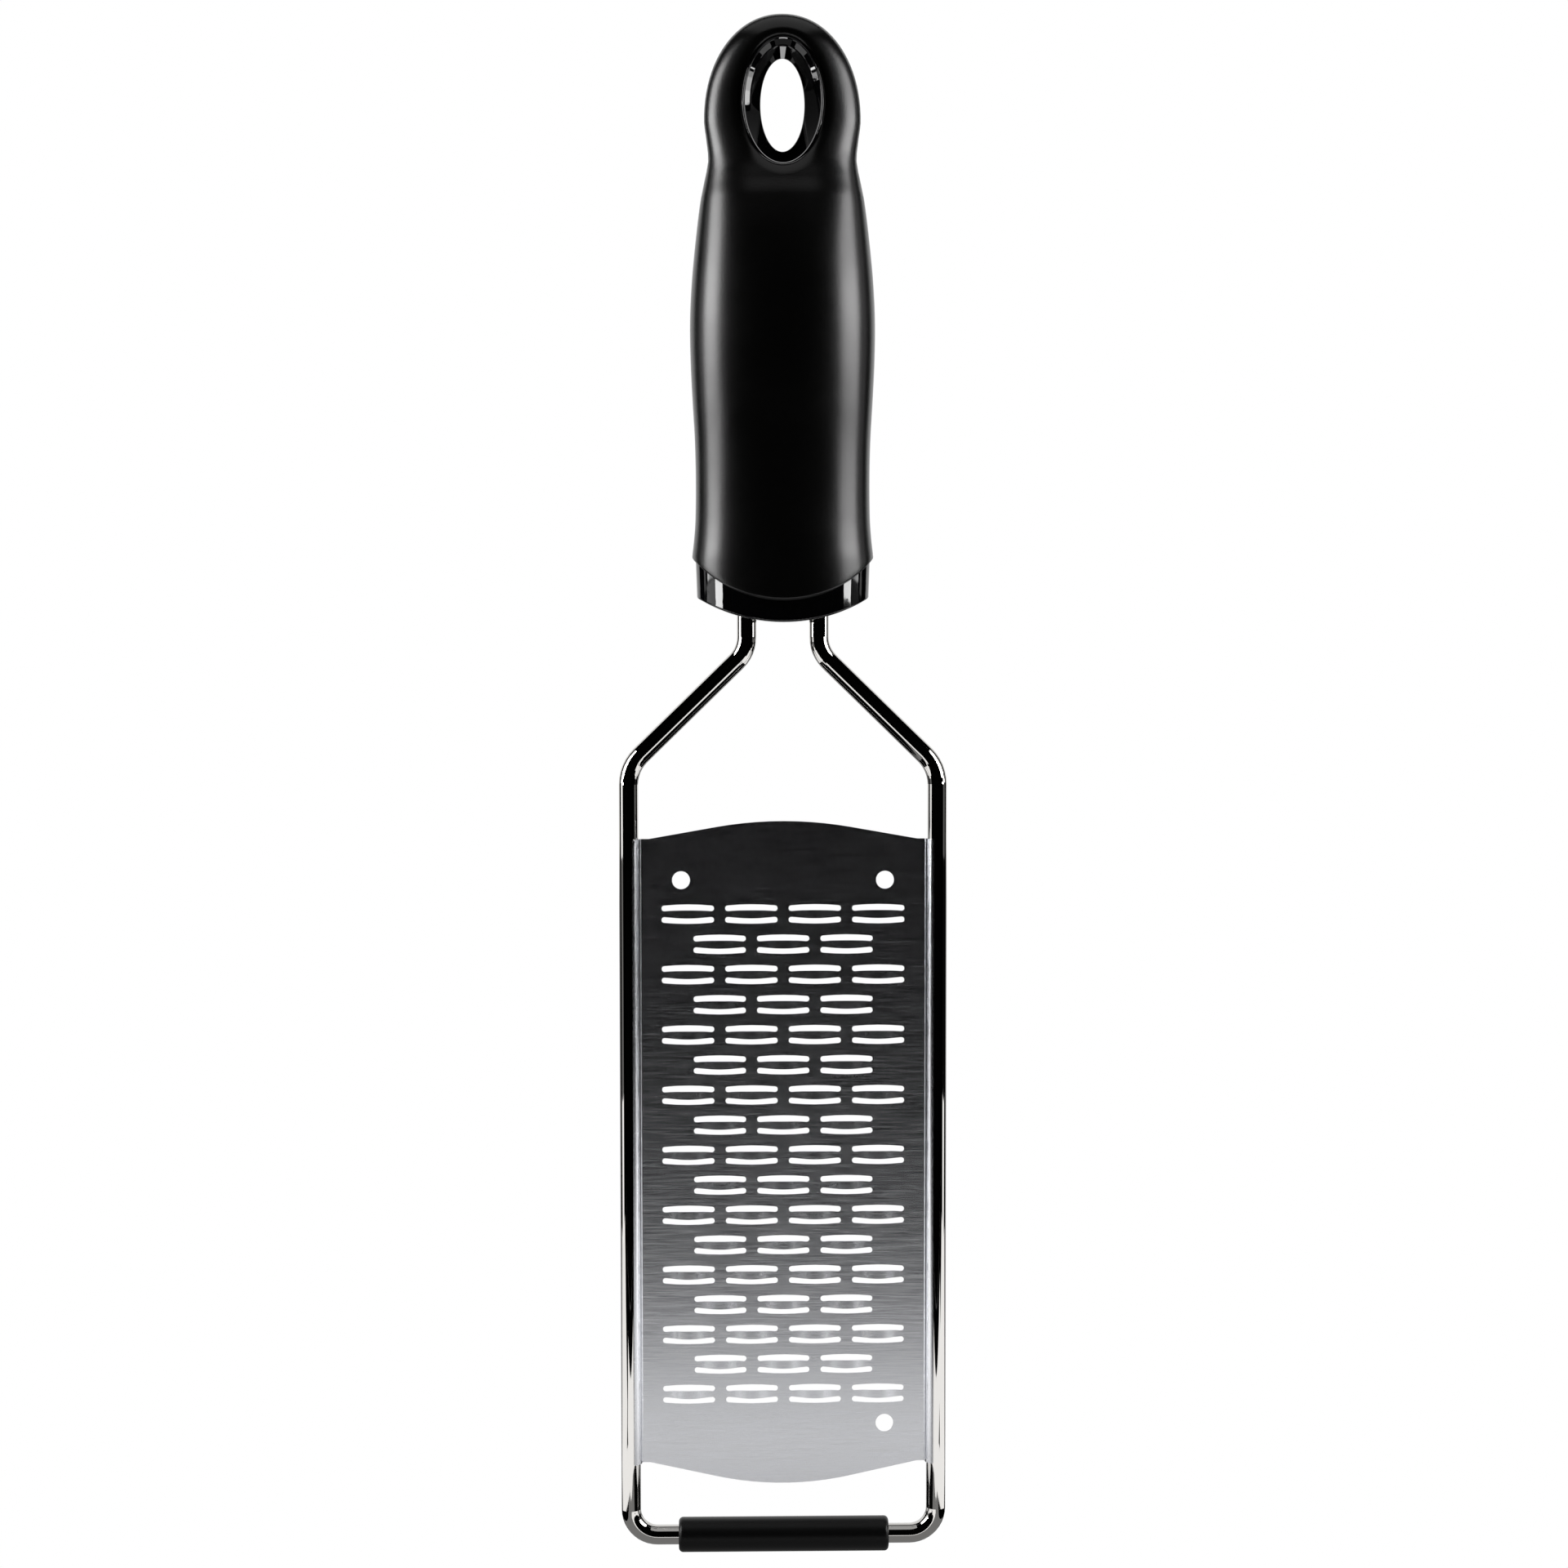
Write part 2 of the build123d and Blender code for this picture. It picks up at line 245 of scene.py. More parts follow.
# %% [markdown]
# ## Blade: brushed and photo-etched stainless sheet
# The sheet is ground with a fine belt from side to side before its slots are etched. On such steel
# the eye sees a soft vertical smear of every reflection, and level streaks of lighter and darker
# steel. Each scratch could be a bump, but scratches finer than a pixel only flicker. Anisotropy
# gives their smear instead: its tangent points across them, and a noise stretched along them gives
# the streaks. Such a belt's lines are taken as 0.05 mm wide, and drawn four times coarser so that
# they show.

# %% Etched stainless sheet
brush_line_mm = 0.2
brush_line_stretch = 40
blade_gloss_range = (0.11, 0.17)
across_brushing = 1.0
# The mix node has several inputs called A and B, so its colours are picked by number
mix_from = 6
mix_to = 7
mix_result = 2


def etched_sheet():
    material, output = new_surface("brushed_etched_stainless")
    place = add_node(material, "ShaderNodeTexCoord").outputs["Object"]
    along = add_node(
        material, "ShaderNodeMapping", {"Scale": (1 / brush_line_stretch, 1, 1)}, {"Vector": place},
    )
    brush = add_node(
        material, "ShaderNodeTexNoise",
        {"Scale": per_metre(brush_line_mm), "Detail": 4.0, "Roughness": 0.7},
        {"Vector": along.outputs["Vector"]},
    )
    gloss = add_node(
        material, "ShaderNodeMapRange",
        {
            "From Min": noise_range[0], "From Max": noise_range[1],
            "To Min": blade_gloss_range[0], "To Max": blade_gloss_range[1],
        },
        {"Value": brush.outputs["Fac"]},
    )
    tone = add_node(
        material, "ShaderNodeMapRange", {"From Min": noise_range[0], "From Max": noise_range[1]},
        {"Value": brush.outputs["Fac"]},
    )
    metal = add_node(
        material, "ShaderNodeMix",
        {"data_type": "RGBA", mix_from: linear("#cccdd2"), mix_to: linear("#f8f9fc")},
        {"Factor": tone.outputs["Result"]},
    )
    across = add_node(material, "ShaderNodeCombineXYZ", {"Z": across_brushing})
    steel = add_node(
        material, "ShaderNodeBsdfPrincipled", {"Metallic": 1.0, "Anisotropic": 0.95},
        {
            "Base Color": metal.outputs[mix_result],
            "Roughness": gloss.outputs["Result"],
            "Tangent": across.outputs["Vector"],
        },
    )
    material.node_tree.links.new(steel.outputs["BSDF"], output.inputs["Surface"])
    return material


blade_finish = etched_sheet()
print(blade_finish.name, "nodes:", len(blade_finish.node_tree.nodes))

# %% [markdown]
# ## Foot: moulded rubber
# The foot is a push-on tube of plain rubber, moulded against a sandblasted tool. The eye sees a
# dull black whose edges still catch a weak light. A diffuse shader alone would look like felt, so
# a weak, rough reflection stays on top, broken up by a fine bump.

# %% Moulded rubber
rubber_grain_mm = 0.2
rubber_grain_depth_mm = 0.02


def moulded_rubber():
    material, output = new_surface("moulded_rubber")
    place = add_node(material, "ShaderNodeTexCoord").outputs["Object"]
    grain = add_node(
        material, "ShaderNodeTexNoise",
        {"Scale": per_metre(rubber_grain_mm), "Detail": 3.0, "Roughness": 0.7}, {"Vector": place},
    )
    bump = add_node(
        material, "ShaderNodeBump", {"Strength": 0.5, "Distance": rubber_grain_depth_mm * MM},
        {"Height": grain.outputs["Fac"]},
    )
    rubber = add_node(
        material, "ShaderNodeBsdfPrincipled",
        {"Base Color": linear("#010101"), "Roughness": 0.38, "Specular IOR Level": 0.3},
        {"Normal": bump.outputs["Normal"]},
    )
    material.node_tree.links.new(rubber.outputs["BSDF"], output.inputs["Surface"])
    return material


foot_finish = moulded_rubber()
print(foot_finish.name, "nodes:", len(foot_finish.node_tree.nodes))

# %% [markdown]
# ## Core: glass-filled nylon
# The core is the rigid moulding that the grip is moulded over, so it only shows where the pieces
# are taken apart. The eye would see a matte black with patches where glass fibres lie near the
# surface. It could share the foot's rubber, but it is another material, so it gets its own.

# %% Glass-filled nylon
fibre_patch_mm = 1.2
nylon_gloss_range = (0.42, 0.6)


def glass_filled_nylon():
    material, output = new_surface("glass_filled_nylon")
    place = add_node(material, "ShaderNodeTexCoord").outputs["Object"]
    fibres = add_node(
        material, "ShaderNodeTexNoise", {"Scale": per_metre(fibre_patch_mm), "Detail": 3.0},
        {"Vector": place},
    )
    gloss = add_node(
        material, "ShaderNodeMapRange",
        {"To Min": nylon_gloss_range[0], "To Max": nylon_gloss_range[1]},
        {"Value": fibres.outputs["Fac"]},
    )
    nylon = add_node(
        material, "ShaderNodeBsdfPrincipled", {"Base Color": linear("#141415"), "IOR": 1.53},
        {"Roughness": gloss.outputs["Result"]},
    )
    material.node_tree.links.new(nylon.outputs["BSDF"], output.inputs["Surface"])
    return material


core_finish = glass_filled_nylon()
print(core_finish.name, "nodes:", len(core_finish.node_tree.nodes))

# %% [markdown]
# ## Finishes for the solids
# The wire, the blade, the collar, the foot and the hidden core keep their solids. They could be
# modelled again with softer edges, but a second model of a piece has to be kept in step with its
# solid, so each only gets its finish in place of the plain one that it has.

# %% Dress the solids
finishes = {
    "frame_rod": wire_finish,
    "blade": blade_finish,
    "end_collar": gloss_finish,
    "foot_sleeve": foot_finish,
    "handle_core": core_finish,
}
for node, finish in finishes.items():
    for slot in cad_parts[node].material_slots:
        slot.material = finish
    print(node, "is", finish.name)

# %% [markdown]
# ## Shape of the handle
# Every level cut through the handle is an oval, so two curves describe it: half its width and half
# its thickness at each height. It could be sculpted or subdivided from a coarse cage, but then a
# width would be hard to set. Here smooth curves run through chosen ovals from the lip to the head,
# and a rounded dome closes the top. An inset draws the same shape inside the skin.

# %% Ovals of the handle
grip_low, grip_high = (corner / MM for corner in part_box("soft_grip"))
ring_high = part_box("hang_ring")[1] / MM
belly_half_w = grip_high.x
belly_half_t = grip_high.y
apex = grip_high.z
head_side_wall = 7.7
head_half_w = ring_high.x + head_side_wall
head_half_t = 6.2
head_base = -3.1
dome_power = 2.1
neck = -11.2
tongue_drop = 8.4
lip = grip_low.z + tongue_drop

# Height as a share of the way from lip to neck, then shares of the belly's width and thickness
oval_shares = [
    (-0.20, 0.988, 0.929), (-0.10, 0.993, 0.932), (0.00, 0.985, 0.929), (0.05, 0.963, 0.905),
    (0.10, 0.947, 0.889), (0.20, 0.942, 0.885), (0.30, 0.951, 0.909), (0.40, 0.975, 0.952),
    (0.50, 0.995, 0.988), (0.60, 1.000, 1.000), (0.70, 0.979, 0.968), (0.80, 0.938, 0.881),
    (0.90, 0.884, 0.742), (0.95, 0.841, 0.643), (1.00, 0.800, 0.556), (1.05, 0.819, 0.512),
]
ovals = [
    (lip + (neck - lip) * run, belly_half_w * wide, belly_half_t * thick)
    for run, wide, thick in oval_shares
]
ovals.append((head_base, head_half_w, head_half_t))
# One oval past the head mirrors the last one below it, so that the curves meet the dome upright
ovals.append((2 * head_base - ovals[-2][0], ovals[-2][1], ovals[-2][2]))
print("ovals from", round(ovals[0][0], 1), "to", round(ovals[-1][0], 1), "mm:", len(ovals))

# %% Smooth curves through the ovals


def through_ovals(height):
    """Half width and half thickness on smooth curves through the chosen ovals."""
    k = 1
    while k < len(ovals) - 3 and ovals[k + 1][0] < height:
        k += 1
    below, low, high, above = ovals[k - 1:k + 3]
    rise = high[0] - low[0]
    share = (height - low[0]) / rise
    halves = []
    for size in (1, 2):
        change = high[size] - low[size]
        slope_low = (high[size] - below[size]) / (high[0] - below[0]) * rise
        slope_high = (above[size] - low[size]) / (above[0] - low[0]) * rise
        bend = 3 * change - 2 * slope_low - slope_high
        twist = slope_low + slope_high - 2 * change
        halves.append(low[size] + share * slope_low + share ** 2 * bend + share ** 3 * twist)
    return halves


def handle_oval(height, inset=0.0):
    """Half width and half thickness of the handle at a height, drawn in by the inset."""
    if height < head_base:
        half_w, half_t = through_ovals(height)
        return half_w - inset, half_t - inset
    dome = apex - head_base - inset
    rise = min((height - head_base) / dome, 1.0)
    half_w = (head_half_w - inset) * (1 - rise ** dome_power) ** (1 / dome_power)
    nose = head_half_t - inset
    nose_drop = max(nose - dome * (1 - rise), 0.0)
    return half_w, math.sqrt(max(nose ** 2 - nose_drop ** 2, 0.0))


def depth_at(x, height, inset=0.0):
    """How far the handle's surface stands off the mid-plane at a place seen from the front."""
    half_w, half_t = handle_oval(height, inset)
    if half_w <= abs(x):
        return 0.0
    return half_t * math.sqrt(1 - (x / half_w) ** 2)


belly_share = 0.6
belly = lip + (neck - lip) * belly_share
for name, height in (("lip", lip), ("belly", belly), ("neck", neck)):
    print(name, "half width and thickness, mm:", [round(half, 2) for half in handle_oval(height)])

# %% [markdown]
# ## Layout of the grip's skin
# A hole through a rounded body is the hard part of this mesh. A boolean cut would be quick, but it
# leaves long thin faces that spoil a highlight. So the head is laid out as spokes from the hang
# hole to the outline, and its faces follow the rim. The lowest spokes end on a level line, and from
# there the same columns run straight down the handle to its lip.

# %% Spokes round the hang hole
rim_gap = 0.05
rim_half_w = ring_high.x + rim_gap
rim_half_h = ring_high.z + rim_gap
spoke_base = -19.0
outline_spokes = 72
column_count = 40
crowding_power = 6
halvings = 50


def rim_point(turn):
    """A point on the hole's rim, where turn is 0 at the right and grows anticlockwise."""
    return Vector((rim_half_w * math.cos(turn), rim_half_h * math.sin(turn)))


def column_swing(k):
    """Angle of a column round the handle: a quarter turn left of the front to a quarter right."""
    return -math.pi / 2 + math.pi * k / column_count


def outline_point(turn, inset):
    """Where a ray from the hole's centre leaves the handle's outline, by halving the distance."""
    direction = rim_point(turn).normalized()
    near, far = 0.0, 2 * apex
    for _ in range(halvings):
        middle = (near + far) / 2
        x, z = direction * middle
        inside = z < apex - inset and abs(x) < handle_oval(z, inset)[0]
        near, far = (middle, far) if inside else (near, middle)
    return direction * near


def spokes(inset):
    """Each spoke's rim point and outer point, and how much its points crowd at the outer end."""
    corner_w = handle_oval(spoke_base, inset)[0]
    corner = math.atan2(spoke_base / rim_half_h, corner_w / rim_half_w)
    found = []
    for k in range(outline_spokes + 1):
        turn = corner + (math.pi - 2 * corner) * k / outline_spokes
        outer = outline_point(turn, inset)
        if k == 0:
            outer = Vector((corner_w, spoke_base))
        if k == outline_spokes:
            outer = Vector((-corner_w, spoke_base))
        found.append((rim_point(turn), outer, 1.0))
    for k in range(1, column_count):
        turn = math.pi - corner + (math.pi + 2 * corner) * k / column_count
        side = math.sin(column_swing(k))
        outer = Vector((corner_w * side, spoke_base))
        found.append((rim_point(turn), outer, abs(side) ** crowding_power))
    return found


print("spokes round the hole:", len(spokes(0.0)))

# %% [markdown]
# ## Points along a spoke
# Where the grip meets the ring, its skin rolls in like the mouth of a cup. A bevel on the finished
# mesh could round it, but it would need clean edges to start from. Here the roll is part of each
# spoke: its first points crowd at the rim and drop along a quarter oval.

# %% Points along a spoke
mouth_wide = 2.3
mouth_deep = 1.0
mouth_most_share = 0.6
mouth_steps = 8
spoke_steps = 20


def mouth_drop(distance, deep):
    """How far the skin has rolled in towards the hole, this far from its rim."""
    if distance >= mouth_wide:
        return 0.0
    return deep * (1 - math.sqrt(1 - (1 - distance / mouth_wide) ** 2))


def spoke_points(rim, outer, crowding, inset, deep):
    """Points along a spoke, from the rim to the outline: x, depth off the mid-plane, height."""
    length = (outer - rim).length
    mouth = min(mouth_wide, mouth_most_share * length)
    distances = [mouth * (1 - math.cos(math.pi / 2 * k / mouth_steps)) for k in range(mouth_steps)]
    for k in range(spoke_steps + 1):
        even = k / spoke_steps
        share = crowding * math.sin(math.pi / 2 * even) + (1 - crowding) * even
        distances.append(mouth + (length - mouth) * share)
    points = []
    for distance in distances:
        x, z = rim + (outer - rim) * (distance / length)
        points.append((x, depth_at(x, z, inset) - mouth_drop(distance, deep), z))
    if crowding == 1.0:
        points[-1] = (outer.x, 0.0, outer.y)
    return points


print("points on a spoke:", len(spoke_points(*spokes(0.0)[0], 0.0, mouth_deep)))

# %% [markdown]
# ## Columns down to the lip
# Below the head each column slides down the handle. The lip is an arc that hangs lowest in the
# middle, so the columns end at different heights. At its end a column rolls over a small round,
# crosses the lip and climbs back inside, which gives the skin its thickness. A solidify modifier
# would do that too, but it can't leave room for the collar that sits inside the lip.

# %% Columns of the body
body_rows = 90
inner_rows = 30
lip_round = 0.7
lip_steps = 6
collar_inset = 0.67
skin_thickness = 2.0
collar_top = lip + 0.55
lip_reach = handle_oval(lip)[0]
tongue_radius = (lip_reach ** 2 + tongue_drop ** 2) / (2 * tongue_drop)


def lip_height(x):
    """Height of the lip, whose edge is a circular arc seen from the front."""
    x = min(abs(x), lip_reach)
    return lip - tongue_drop + tongue_radius - math.sqrt(tongue_radius ** 2 - x ** 2)


def on_column(swing, height, inset):
    """A point on the handle's surface, at an angle round it."""
    half_w, half_t = handle_oval(height, inset)
    return half_w * math.sin(swing), half_t * math.cos(swing), height


def column_points(swing):
    """Points down a column outside, round the lip and up inside."""
    end = lip_height(lip_reach * math.sin(swing))
    stops = []
    for k in range(1, body_rows + 1):
        stops.append((spoke_base + (end + lip_round - spoke_base) * k / body_rows, 0.0))
    for k in range(1, lip_steps + 1):
        turn = math.pi / 2 * k / lip_steps
        stops.append((end + lip_round * (1 - math.sin(turn)), lip_round * (1 - math.cos(turn))))
    stops.append((end, collar_inset))
    stops.append((collar_top, collar_inset))
    stops.append((collar_top, skin_thickness))
    for k in range(1, inner_rows + 1):
        stops.append((collar_top + (spoke_base - collar_top) * k / inner_rows, skin_thickness))
    return [on_column(swing, height, inset) for height, inset in stops]


print("lip at the side and in the middle, mm:", lip_height(lip_reach), round(lip_height(0), 2))

# %% [markdown]
# ## From points to a mesh
# Both made pieces are sheets of four-sided faces between neighbouring lines of points. Blender has
# a bridge tool for that, but here the points are already in order, so a loop joins them. Points
# that meet on a seam are merged, and a count of open edges shows at once if a skin isn't closed.

# %% Mesh helpers


def sheet_of_quads(made, lines, closed):
    """Joins neighbouring lines of points, all with as many points, with four-sided faces."""
    rows = [[made.verts.new(point) for point in line] for line in lines]
    pairs = zip(rows, rows[1:] + rows[:1]) if closed else zip(rows, rows[1:])
    for one, two in pairs:
        for k in range(len(one) - 1):
            made.faces.new((one[k], one[k + 1], two[k + 1], two[k]))


def finished_mesh(made, name, merge_mm=0.002, sliver_mm=0.0005, crease_deg=40):
    """A smooth-shaded mesh in metres, with merged seams, outward faces and sharp creases."""
    bmesh.ops.remove_doubles(made, verts=made.verts, dist=merge_mm)
    bmesh.ops.dissolve_degenerate(made, edges=made.edges, dist=sliver_mm)
    bmesh.ops.recalc_face_normals(made, faces=made.faces)
    bmesh.ops.scale(made, vec=(MM, MM, MM), verts=made.verts)
    loose = sum(1 for edge in made.edges if len(edge.link_faces) != 2)
    mesh = bpy.data.meshes.new(name)
    made.to_mesh(mesh)
    made.free()
    mesh.shade_smooth()
    mesh.set_sharp_from_angle(angle=math.radians(crease_deg))
    print(name, "faces:", len(mesh.polygons), "edges not between two faces:", loose)
    return mesh


def add_piece(name, mesh, material, node):
    """Puts a piece on the tool in place of a solid."""
    mesh.materials.append(material)
    piece = bpy.data.objects.new(name, mesh)
    bpy.context.scene.collection.objects.link(piece)
    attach(piece, "root")
    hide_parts(node)


print("a piece rides on the root body, since nothing on the tool moves")

# %% [markdown]
# ## Sewing the grip together
# The back of the grip is its front turned over, so one half is worked out and both are made from
# it. A mirror modifier would do the same, but one loop over both sides keeps the seam exact and
# leaves nothing to apply. Spokes cover the head outside and, inset, inside. The columns run down
# outside and back up inside, and a strip round the rim joins the two skins at the hole.

# %% The grip's mesh


def grip_mesh():
    made = bmesh.new()
    swings = [column_swing(k) for k in range(column_count + 1)]
    outer = [spoke_points(*spoke, 0.0, mouth_deep) for spoke in spokes(0.0)]
    inner = [spoke_points(*spoke, skin_thickness, 0.0) for spoke in spokes(skin_thickness)]
    columns = []
    for swing in swings:
        columns.append([on_column(swing, spoke_base, 0.0)] + column_points(swing))
    rim = [(one[0], two[0]) for one, two in zip(outer, inner)]
    for side in (-1, 1):
        def turned(lines):
            return [[(x, side * depth, z) for x, depth, z in line] for line in lines]
        sheet_of_quads(made, turned(outer), closed=True)
        sheet_of_quads(made, turned(inner), closed=True)
        sheet_of_quads(made, turned(rim), closed=True)
        sheet_of_quads(made, turned(columns), closed=False)
    return finished_mesh(made, "grip_skin")


add_piece("grip_skin", grip_mesh(), grip_finish, "soft_grip")

# %% [markdown]
# ## Profile of the hang ring
# The ring lines the hole with one profile: a thin round bead at each face, a short steep wall
# behind it that draws the bright line round the hole, and a funnel that narrows to a soft edge at
# the throat. The gleams in the real ring suggest that its wall isn't quite straight at the top and
# left, so the funnel there bends at a knee and stands a little fuller. A curve with a bevel object
# would sweep a fixed profile, but a loop over the points can change it as it goes round.

# %% Profile of the hang ring
ring_half_t = ring_high.y
bead_r = 0.2
bead_steps = 12
rim_wall_deg = 66
rim_wall_run = 0.18
rim_wall_shares = (0.2, 0.8, 1.0)
throat_half_w = 4.45
throat_half_h = 9.3
throat_round = 0.45
throat_nose_share = 0.35
throat_steps = 4
knee_run = 0.36
knee_rise = 0.19
# Rows crowd at the ends and round the knee, so that the reflections there stay straight
funnel_shares = (0.01, 0.04, 0.12, 0.2, 0.28, 0.34, 0.38, 0.45, 0.6, 0.8, 0.96, 0.99)


def bead_and_wall():
    """Points over the bead and down the steep wall: how far inside the rim, and the depth."""
    points = []
    for k in range(bead_steps + 1):
        turn = (math.pi / 2 + math.radians(rim_wall_deg)) * k / bead_steps
        depth = ring_half_t - bead_r + bead_r * math.sin(turn)
        points.append((bead_r * (1 - math.cos(turn)), depth))
    foot_in, foot_depth = points[-1]
    for share in rim_wall_shares:
        run = rim_wall_run * share
        points.append((foot_in + run, foot_depth - run * math.tan(math.radians(rim_wall_deg))))
    return points


def throat_nose():
    """Points over half of the throat's soft edge."""
    points = []
    for k in range(throat_steps + 1):
        depth_share = 1 - k / throat_steps
        inside = ring_high.x - throat_half_w - throat_round * throat_nose_share * depth_share ** 2
        points.append((inside, throat_round * depth_share))
    return points


def ring_profile(full):
    """The ring's closed profile: how far inside the rim, and the depth, where full is 0 to 1."""
    bead = bead_and_wall()
    throat = throat_nose()
    (inside, depth), (inside_end, depth_end) = bead[-1], throat[0]
    funnel = []
    for share in funnel_shares:
        bent = knee_rise * share / knee_run
        if share > knee_run:
            bent = knee_rise + (1 - knee_rise) * (share - knee_run) / (1 - knee_run)
        fall = share + (bent - share) * full
        place = (inside + (inside_end - inside) * share, depth + (depth_end - depth) * fall)
        funnel.append(place)
    front = [(inward, -off) for inward, off in bead + funnel + throat]
    back = [(inward, off) for inward, off in bead + funnel + throat]
    return front + back[::-1]


print("points in the ring's profile:", len(ring_profile(0.0)))

# %% [markdown]
# ## The hang ring
# The profile is carried round an oval whose rim fits the solid's hole. Its throat is a narrower
# oval, so each point's height is scaled by how far inside it lies. The fuller stretch of wall
# could start at once, but that would leave a crease, so it blends in over a few degrees.

# %% The hang ring's mesh
ring_turns = 240
ring_merge_mm = 0.0005
ring_sliver_mm = 0.000125
fuller_from_deg = 15
fuller_to_deg = 190
fuller_ramp_deg = 8


def fullness(turn):
    """How full the wall is: 0 on the right and below, 1 at the top and left."""
    degrees = math.degrees(turn)
    rise = (degrees - fuller_from_deg) / fuller_ramp_deg
    fall = (fuller_to_deg - degrees) / fuller_ramp_deg
    return min(max(min(rise, fall), 0.0), 1.0)


def ring_mesh():
    made = bmesh.new()
    lines = []
    for k in range(ring_turns):
        turn = 2 * math.pi * k / ring_turns
        line = []
        for inside, depth in ring_profile(fullness(turn)):
            share = inside / (ring_high.x - throat_half_w)
            half_w = ring_high.x - inside
            half_h = ring_high.z - share * (ring_high.z - throat_half_h)
            line.append((half_w * math.cos(turn), depth, half_h * math.sin(turn)))
        lines.append(line + line[:1])
    sheet_of_quads(made, lines, closed=True)
    return finished_mesh(made, "ring_liner", ring_merge_mm, ring_sliver_mm)


add_piece("ring_liner", ring_mesh(), gloss_finish, "hang_ring")

# %% [markdown]
# ## Camera
# The photograph looks straight at the cutting face. A level camera at the middle of the tool would
# be the simple choice, but the blade's gradient and the foot's top suggest that the lens stood
# near the collar's height and tipped down a little. So the camera stands 549 mm in front at that
# height and aims near the middle, with a trace of roll that the photograph has.

# %% The camera
camera_place_mm = (-11.06, -549.10, -108.42)
camera_aim_mm = (0.21, 0, -137.71)
camera_roll_deg = -0.05
lens_mm = 61.49
sensor_mm = 36
nearest_seen_mm = 10

camera = bpy.data.objects.new("camera", bpy.data.cameras.new("camera"))
bpy.context.scene.collection.objects.link(camera)
camera.data.lens = lens_mm
camera.data.sensor_width = sensor_mm
camera.data.clip_start = nearest_seen_mm * MM
camera.location = Vector(camera_place_mm) * MM
sight = Vector(camera_aim_mm) * MM - camera.location
camera.rotation_mode = "QUATERNION"
roll = Quaternion((0, 0, 1), math.radians(camera_roll_deg))
camera.rotation_quaternion = sight.to_track_quat("-Z", "Y") @ roll
bpy.context.scene.camera = camera
print("camera to hang hole, mm:", round(camera.location.length / MM))

# %% [markdown]
# ## The floor
# The tool stands over a white sweep. Much light on a grey floor would make it white, but it would
# also wash out the tool. So only the camera sees it plain white, and near the tool even that is
# half ordinary pale paint, which takes a soft shade. Light Path tells the kinds of ray apart.

# %% Materials of the floor and the flags
floor_drop_mm = 112
floor_mm = cad_box[0].z / MM - floor_drop_mm
floor_half_mm = 2500
shadow_reach_mm = 260
shadow_core_share = 0.5
least_plain_share = 0.5


def white_floor():
    """Half pale paint near the tool, which takes its shade, and plain white further out."""
    material, output = new_surface("white_floor_paint")
    rays = add_node(material, "ShaderNodeLightPath")
    place = add_node(material, "ShaderNodeTexCoord").outputs["Object"]
    level_place = add_node(
        material, "ShaderNodeVectorMath", {"operation": "MULTIPLY", 1: (1, 1, 0)}, {0: place},
    )
    distance = add_node(
        material, "ShaderNodeVectorMath", {"operation": "LENGTH"}, {0: level_place.outputs[0]},
    )
    plain = add_node(
        material, "ShaderNodeMapRange",
        {
            "From Min": shadow_core_share * shadow_reach_mm * MM,
            "From Max": shadow_reach_mm * MM,
            "To Min": least_plain_share,
        },
        {"Value": distance.outputs["Value"]},
    )
    share = add_node(
        material, "ShaderNodeMath", {"operation": "MULTIPLY"},
        {0: rays.outputs["Is Camera Ray"], 1: plain.outputs["Result"]},
    )
    paint = add_node(material, "ShaderNodeBsdfDiffuse", {"Color": linear("#e4e4e4")})
    glow = add_node(material, "ShaderNodeEmission", {"Color": linear("#ffffff")})
    mixed = add_node(
        material, "ShaderNodeMixShader", None,
        {0: share.outputs[0], 1: paint.outputs[0], 2: glow.outputs[0]},
    )
    material.node_tree.links.new(mixed.outputs[0], output.inputs["Surface"])
    return material


def black_cloth():
    material, output = new_surface("black_flag_cloth")
    cloth = add_node(material, "ShaderNodeBsdfDiffuse", {"Color": linear("#050505")})
    material.node_tree.links.new(cloth.outputs[0], output.inputs["Surface"])
    return material


floor_paint = white_floor()
flag_cloth = black_cloth()
print("floor at", round(floor_mm), "mm, paint shows within", shadow_reach_mm, "mm")

# %% [markdown]
# ## Panels of the set
# Floor, flags and cards are all flat panels. Each could be a scaled plane, but four corners in a
# mesh say where it is without any rotation. Places at the sides are given by how far round the tool
# they stand: 0 degrees is in front, 90 to the right, 180 behind. Of the panels the camera sees only
# the floor. A card that doesn't shade shows in reflections and leaves the other light alone.

# %% Panel helpers


def round_the_tool(azimuth_deg, radius_mm):
    """A place on the set in millimetres, at an angle and a distance from the tool."""
    azimuth = math.radians(azimuth_deg)
    return radius_mm * math.sin(azimuth), -radius_mm * math.cos(azimuth)


def panel(name, corners_mm, material, seen=False, shades=True):
    """A flat stage piece with these four corners."""
    mesh = bpy.data.meshes.new(name)
    mesh.from_pydata([Vector(corner) * MM for corner in corners_mm], [], [(0, 1, 2, 3)])
    mesh.materials.append(material)
    piece = bpy.data.objects.new(name, mesh)
    bpy.context.scene.collection.objects.link(piece)
    piece.visible_camera = seen
    piece.visible_shadow = shades
    piece.visible_diffuse = shades
    piece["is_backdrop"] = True


def upright(name, start, end, low, high, material, shades=True):
    """An upright panel over the line from start to end, between two heights."""
    corners = [(*start, low), (*end, low), (*end, high), (*start, high)]
    panel(name, corners, material, shades=shades)


def level(name, near_left, far_right, height, material, seen=False, shades=True):
    """A level panel between two opposite corners."""
    (x0, y0), (x1, y1) = near_left, far_right
    corners = [(x0, y0, height), (x1, y0, height), (x1, y1, height), (x0, y1, height)]
    panel(name, corners, material, seen, shades)


